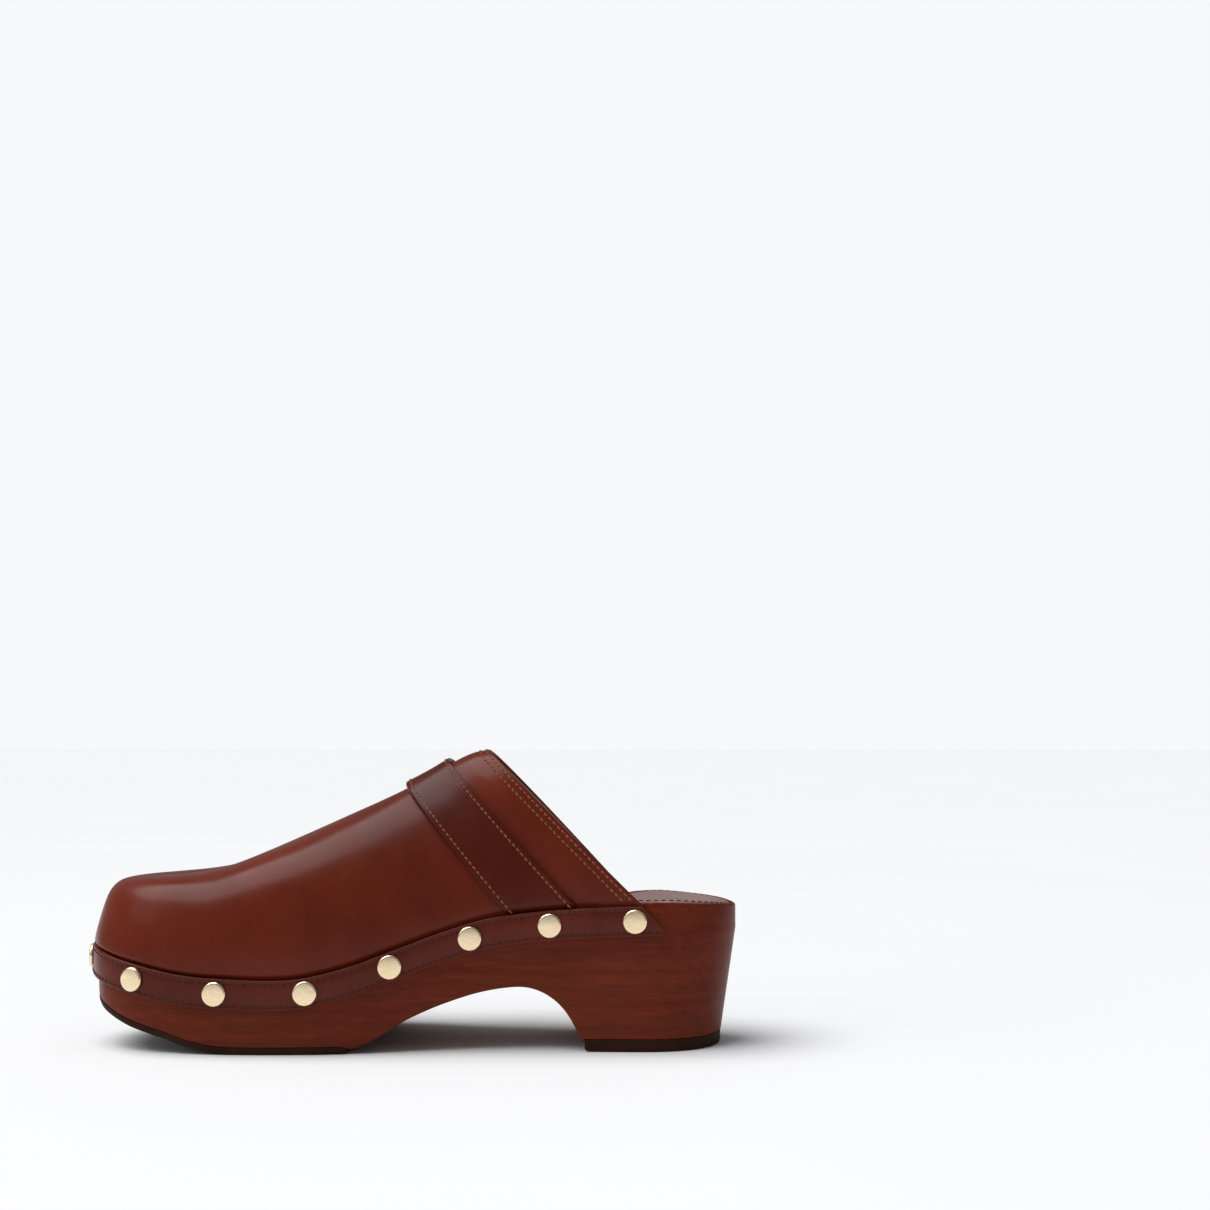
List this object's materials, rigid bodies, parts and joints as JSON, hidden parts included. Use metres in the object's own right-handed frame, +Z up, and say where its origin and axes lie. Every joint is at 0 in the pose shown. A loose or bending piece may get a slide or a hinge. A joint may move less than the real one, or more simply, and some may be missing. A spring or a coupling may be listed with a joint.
{
  "type": "wooden clog",
  "caption": "Closed-toe mule clog for the right foot: wooden base with heel, polished leather upper held by a studded band, and an instep strap with a buckle.",
  "frame": {"origin": "on the floor, under the middle of the clog's outline", "axes": "+X from the toe to the heel, +Y to the outer side of the foot, +Z up"},
  "size_m": [0.2556, 0.0848, 0.114],
  "materials": {
    "wooden_base": "stained and varnished, satin, grain along the length",
    "forefoot_tread": "moulded, matt",
    "heel_tread": "moulded, matt",
    "footbed_foam": "soft open foam",
    "insole_sock": "smooth, satin, stitched near its edge",
    "upper_leather": "smooth and polished, fine creases",
    "toe_stiffener": "pressed fibre",
    "upper_lining": "undyed, matt",
    "topline_facing": "smooth, matt",
    "band": "smooth and polished, dark cut edges, stitched along both edges",
    "band_studs": "polished",
    "strap": "smooth and polished, dark painted edges, stitched along both edges",
    "strap_backing": "matt",
    "buckle_tab": "smooth, satin",
    "buckle_frame": "polished",
    "buckle_bar": "polished",
    "buckle_prong": "polished"
  },
  "bodies": {
    "clog": {"wooden_base": "wooden_base", "forefoot_tread": "forefoot_tread", "heel_tread": "heel_tread", "footbed_foam": "footbed_foam", "insole_sock": "insole_sock", "upper_leather": "upper_leather", "toe_stiffener": "toe_stiffener", "upper_lining": "upper_lining", "topline_facing": "topline_facing", "band": "band", "band_studs": "band_studs", "strap": "strap", "strap_backing": "strap_backing", "buckle_tab": "buckle_tab"},
    "buckle": {"buckle_frame": "buckle_frame", "buckle_bar": "buckle_bar"},
    "prong": {"buckle_prong": "buckle_prong"}
  },
  "joints": [
    {"name": "buckle_rock", "type": "hinge", "parent": "clog", "child": "buckle", "pos_m": [0.02974, 0.02995, 0.07921], "axis": [-0.7759, 0.2415, -0.5828], "range_deg": [0, 2.5]},
    {"name": "prong_lift", "type": "hinge", "parent": "buckle", "child": "prong", "pos_m": [0.02974, 0.02995, 0.07921], "axis": [-0.7759, 0.2415, -0.5828], "range_deg": [0, 55]}
  ]
}
